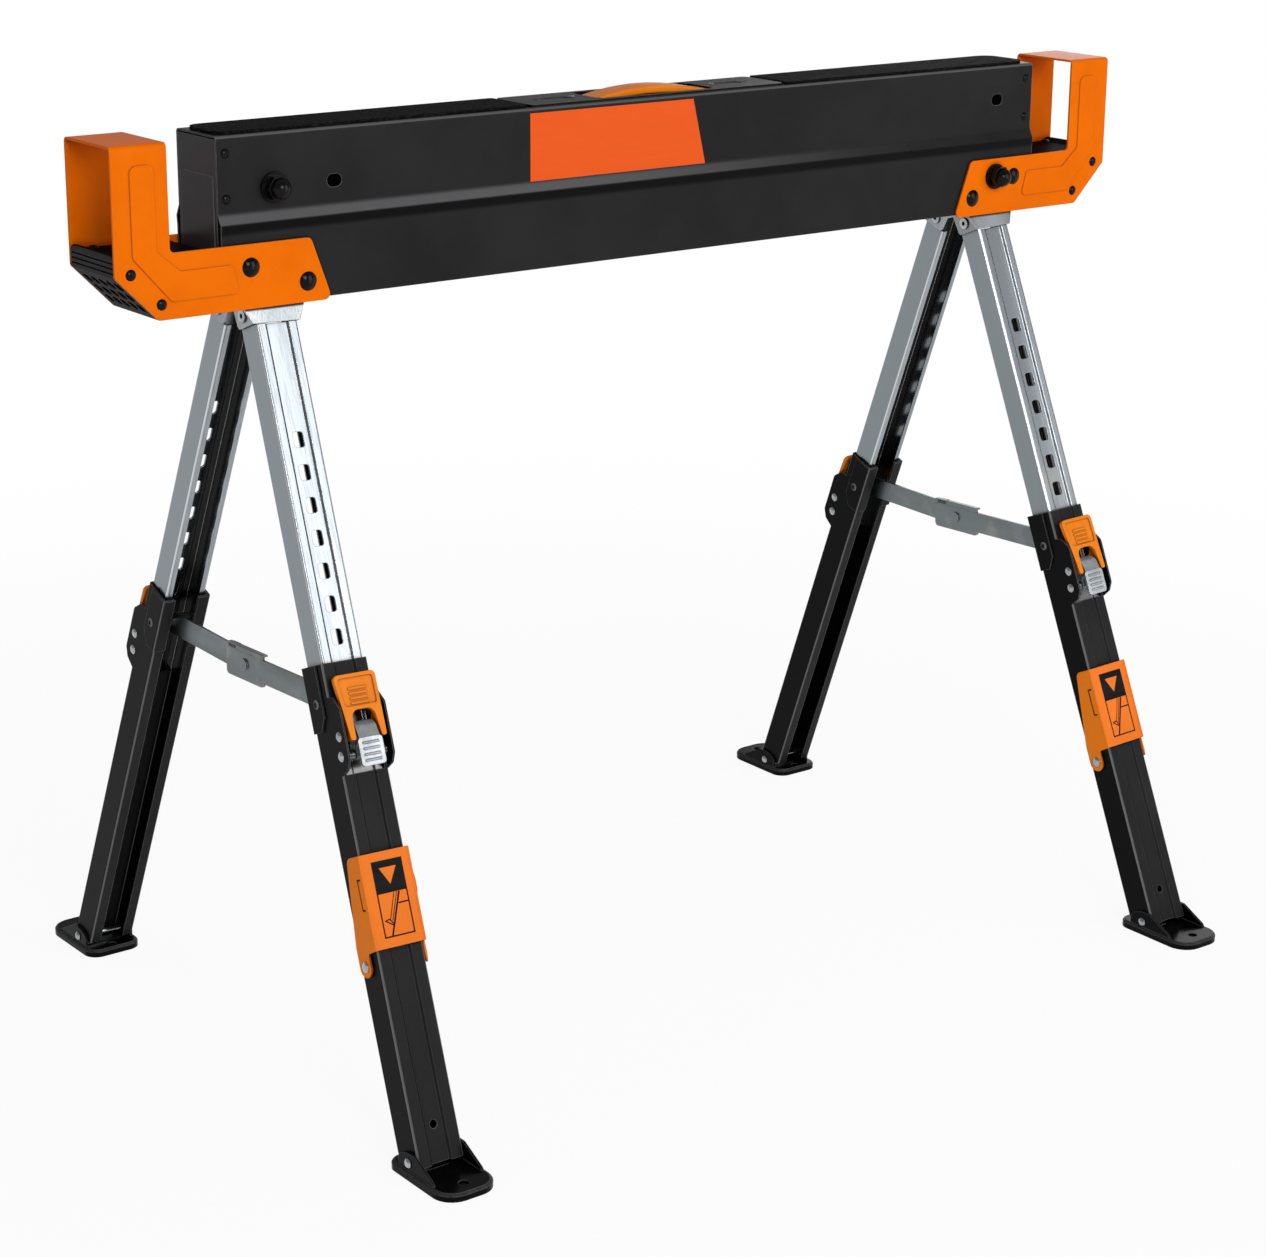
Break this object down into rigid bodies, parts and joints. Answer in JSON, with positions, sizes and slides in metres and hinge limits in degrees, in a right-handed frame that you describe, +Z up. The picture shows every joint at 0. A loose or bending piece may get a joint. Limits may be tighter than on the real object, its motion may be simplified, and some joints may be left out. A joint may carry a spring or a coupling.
{
  "type": "folding trestle",
  "caption": "Folding steel builders trestle: hollow beam with end stops on splayed telescopic legs with latches, spreaders, flip-out supports and tilting feet.",
  "frame": {"origin": "on the floor, under the middle of the beam", "axes": "+X along the beam to its right end, -Y the front with the dome nuts, +Z up"},
  "size_m": [1.082, 0.6838, 0.8072],
  "materials": {
    "black_coat": "satin black powder coat",
    "orange_coat": "satin orange powder coat",
    "zinc": "bright zinc plating",
    "black_plastic": "fine grain",
    "orange_plastic": "satin",
    "grip_rubber": "ribbed, matt",
    "black_fastener": "black oxide",
    "foot_coat": "gloss black enamel"
  },
  "bodies": {
    "beam": {"beam_shell": "black_coat", "end_caps": "black_coat", "grip_pads": "grip_rubber", "handle_tray": "black_plastic", "carry_handle": "orange_plastic", "handle_blocks": "black_plastic", "stop_bracket_left": "orange_coat", "stop_bracket_right": "orange_coat", "corner_blocks": "black_plastic", "bracket_bolts": "black_fastener", "small_screws": "black_fastener", "pivot_bolts": "black_fastener", "dome_nuts": "black_fastener"},
    "yoke_left": {"yoke_left": "zinc", "hinge_rivets_left": "zinc"},
    "yoke_right": {"yoke_right": "zinc", "hinge_rivets_right": "zinc"},
    "upper_leg_front_left": {"upper_leg_front_left": "zinc", "spreader_pin_front_left": "zinc"},
    "lower_leg_front_left": {"lower_leg_front_left": "black_coat", "guide_clips_front_left": "black_coat", "leg_pins_front_left": "zinc"},
    "foot_front_left": {"foot_front_left": "foot_coat"},
    "latch_paddle_front_left": {"latch_paddle_front_left": "orange_plastic"},
    "latch_pawl_front_left": {"latch_pawl_front_left": "zinc"},
    "spreader_link_front_left": {"spreader_link_front_left": "zinc"},
    "material_support_front_left": {"material_support_front_left": "orange_coat"},
    "upper_leg_front_right": {"upper_leg_front_right": "zinc", "spreader_pin_front_right": "zinc"},
    "lower_leg_front_right": {"lower_leg_front_right": "black_coat", "guide_clips_front_right": "black_coat", "leg_pins_front_right": "zinc"},
    "foot_front_right": {"foot_front_right": "foot_coat"},
    "latch_paddle_front_right": {"latch_paddle_front_right": "orange_plastic"},
    "latch_pawl_front_right": {"latch_pawl_front_right": "zinc"},
    "spreader_link_front_right": {"spreader_link_front_right": "zinc"},
    "material_support_front_right": {"material_support_front_right": "orange_coat"},
    "upper_leg_rear_left": {"upper_leg_rear_left": "zinc", "spreader_pin_rear_left": "zinc"},
    "lower_leg_rear_left": {"lower_leg_rear_left": "black_coat", "guide_clips_rear_left": "black_coat", "leg_pins_rear_left": "zinc"},
    "foot_rear_left": {"foot_rear_left": "foot_coat"},
    "latch_paddle_rear_left": {"latch_paddle_rear_left": "orange_plastic"},
    "latch_pawl_rear_left": {"latch_pawl_rear_left": "zinc"},
    "spreader_link_rear_left": {"spreader_link_rear_left": "zinc"},
    "upper_leg_rear_right": {"upper_leg_rear_right": "zinc", "spreader_pin_rear_right": "zinc"},
    "lower_leg_rear_right": {"lower_leg_rear_right": "black_coat", "guide_clips_rear_right": "black_coat", "leg_pins_rear_right": "zinc"},
    "foot_rear_right": {"foot_rear_right": "foot_coat"},
    "latch_paddle_rear_right": {"latch_paddle_rear_right": "orange_plastic"},
    "latch_pawl_rear_right": {"latch_pawl_rear_right": "zinc"},
    "spreader_link_rear_right": {"spreader_link_rear_right": "zinc"}
  },
  "joints": [
    {"name": "fold_left", "type": "hinge", "parent": "beam", "child": "yoke_left", "pos_m": [-0.39337, 0, 0.75579], "axis": [0, -1, 0], "range_deg": [0, 12]},
    {"name": "fold_right", "type": "hinge", "parent": "beam", "child": "yoke_right", "pos_m": [0.39543, 0, 0.69682], "axis": [0, 1, 0], "range_deg": [0, 12]},
    {"name": "close_front_left", "type": "hinge", "parent": "yoke_left", "child": "upper_leg_front_left", "pos_m": [-0.397, -0.02, 0.65185], "axis": [0.9994, 0, -0.0349], "range_deg": [0, 20]},
    {"name": "spread_front_left", "type": "hinge", "parent": "upper_leg_front_left", "child": "spreader_link_front_left", "pos_m": [-0.40735, -0.13495, 0.3555], "axis": [0.9994, 0, -0.0349], "range_deg": [0, 60.83]},
    {"name": "height_front_left", "type": "slide", "parent": "upper_leg_front_left", "child": "lower_leg_front_left", "axis": [0.0324, 0.3746, 0.9266], "range_m": [0, 0.243]},
    {"name": "foot_tilt_front_left", "type": "hinge", "parent": "lower_leg_front_left", "child": "foot_front_left", "pos_m": [-0.41933, -0.28386, 0.0125], "axis": [0.9994, 0, -0.0349], "range_deg": [-12, 12]},
    {"name": "paddle_front_left", "type": "hinge", "parent": "lower_leg_front_left", "child": "latch_paddle_front_left", "pos_m": [-0.40798, -0.1703, 0.33743], "axis": [-0.9994, 0, 0.0349], "range_deg": [0, 5], "stiffness_Nm_per_rad": 0.4, "springref_deg": -8.59},
    {"name": "pawl_front_left", "type": "hinge", "parent": "lower_leg_front_left", "child": "latch_pawl_front_left", "pos_m": [-0.40853, -0.17397, 0.32167], "axis": [0.9994, 0, -0.0349], "range_deg": [0, 15], "stiffness_Nm_per_rad": 0.4, "springref_deg": -8.59},
    {"name": "support_front_left", "type": "hinge", "parent": "lower_leg_front_left", "child": "material_support_front_left", "pos_m": [-0.41428, -0.21735, 0.15702], "axis": [0.9994, 0, -0.0349], "range_deg": [0, 62]},
    {"name": "close_front_right", "type": "hinge", "parent": "yoke_right", "child": "upper_leg_front_right", "pos_m": [0.397, -0.02, 0.65185], "axis": [0.9994, 0, 0.0349], "range_deg": [0, 20]},
    {"name": "spread_front_right", "type": "hinge", "parent": "upper_leg_front_right", "child": "spreader_link_front_right", "pos_m": [0.40735, -0.13495, 0.3555], "axis": [0.9994, 0, 0.0349], "range_deg": [0, 60.83]},
    {"name": "height_front_right", "type": "slide", "parent": "upper_leg_front_right", "child": "lower_leg_front_right", "axis": [-0.0324, 0.3746, 0.9266], "range_m": [0, 0.243]},
    {"name": "foot_tilt_front_right", "type": "hinge", "parent": "lower_leg_front_right", "child": "foot_front_right", "pos_m": [0.41933, -0.28386, 0.0125], "axis": [0.9994, 0, 0.0349], "range_deg": [-12, 12]},
    {"name": "paddle_front_right", "type": "hinge", "parent": "lower_leg_front_right", "child": "latch_paddle_front_right", "pos_m": [0.40798, -0.1703, 0.33743], "axis": [-0.9994, 0, -0.0349], "range_deg": [0, 5], "stiffness_Nm_per_rad": 0.4, "springref_deg": -8.59},
    {"name": "pawl_front_right", "type": "hinge", "parent": "lower_leg_front_right", "child": "latch_pawl_front_right", "pos_m": [0.40853, -0.17397, 0.32167], "axis": [0.9994, 0, 0.0349], "range_deg": [0, 15], "stiffness_Nm_per_rad": 0.4, "springref_deg": -8.59},
    {"name": "support_front_right", "type": "hinge", "parent": "lower_leg_front_right", "child": "material_support_front_right", "pos_m": [0.41428, -0.21735, 0.15702], "axis": [0.9994, 0, 0.0349], "range_deg": [0, 62]},
    {"name": "close_rear_left", "type": "hinge", "parent": "yoke_left", "child": "upper_leg_rear_left", "pos_m": [-0.397, 0.02, 0.65185], "axis": [-0.9994, 0, 0.0349], "range_deg": [0, 20]},
    {"name": "spread_rear_left", "type": "hinge", "parent": "upper_leg_rear_left", "child": "spreader_link_rear_left", "pos_m": [-0.40735, 0.13495, 0.3555], "axis": [-0.9994, 0, 0.0349], "range_deg": [0, 60.83]},
    {"name": "height_rear_left", "type": "slide", "parent": "upper_leg_rear_left", "child": "lower_leg_rear_left", "axis": [0.0324, -0.3746, 0.9266], "range_m": [0, 0.243]},
    {"name": "foot_tilt_rear_left", "type": "hinge", "parent": "lower_leg_rear_left", "child": "foot_rear_left", "pos_m": [-0.41933, 0.28386, 0.0125], "axis": [0.9994, 0, -0.0349], "range_deg": [-12, 12]},
    {"name": "paddle_rear_left", "type": "hinge", "parent": "lower_leg_rear_left", "child": "latch_paddle_rear_left", "pos_m": [-0.40798, 0.1703, 0.33743], "axis": [0.9994, 0, -0.0349], "range_deg": [0, 5], "stiffness_Nm_per_rad": 0.4, "springref_deg": -8.59},
    {"name": "pawl_rear_left", "type": "hinge", "parent": "lower_leg_rear_left", "child": "latch_pawl_rear_left", "pos_m": [-0.40853, 0.17397, 0.32167], "axis": [-0.9994, 0, 0.0349], "range_deg": [0, 15], "stiffness_Nm_per_rad": 0.4, "springref_deg": -8.59},
    {"name": "close_rear_right", "type": "hinge", "parent": "yoke_right", "child": "upper_leg_rear_right", "pos_m": [0.397, 0.02, 0.65185], "axis": [-0.9994, 0, -0.0349], "range_deg": [0, 20]},
    {"name": "spread_rear_right", "type": "hinge", "parent": "upper_leg_rear_right", "child": "spreader_link_rear_right", "pos_m": [0.40735, 0.13495, 0.3555], "axis": [-0.9994, 0, -0.0349], "range_deg": [0, 60.83]},
    {"name": "height_rear_right", "type": "slide", "parent": "upper_leg_rear_right", "child": "lower_leg_rear_right", "axis": [-0.0324, -0.3746, 0.9266], "range_m": [0, 0.243]},
    {"name": "foot_tilt_rear_right", "type": "hinge", "parent": "lower_leg_rear_right", "child": "foot_rear_right", "pos_m": [0.41933, 0.28386, 0.0125], "axis": [0.9994, 0, 0.0349], "range_deg": [-12, 12]},
    {"name": "paddle_rear_right", "type": "hinge", "parent": "lower_leg_rear_right", "child": "latch_paddle_rear_right", "pos_m": [0.40798, 0.1703, 0.33743], "axis": [0.9994, 0, 0.0349], "range_deg": [0, 5], "stiffness_Nm_per_rad": 0.4, "springref_deg": -8.59},
    {"name": "pawl_rear_right", "type": "hinge", "parent": "lower_leg_rear_right", "child": "latch_pawl_rear_right", "pos_m": [0.40853, 0.17397, 0.32167], "axis": [-0.9994, 0, -0.0349], "range_deg": [0, 15], "stiffness_Nm_per_rad": 0.4, "springref_deg": -8.59}
  ],
  "couplings": [
    {"joint": "spread_front_left", "follows": "close_front_left", "ratio": 3.0167},
    {"joint": "spread_front_right", "follows": "close_front_right", "ratio": 3.0167},
    {"joint": "close_rear_left", "follows": "close_front_left", "ratio": 1},
    {"joint": "spread_rear_left", "follows": "close_front_left", "ratio": 3.0167},
    {"joint": "close_rear_right", "follows": "close_front_right", "ratio": 1},
    {"joint": "spread_rear_right", "follows": "close_front_right", "ratio": 3.0167}
  ]
}
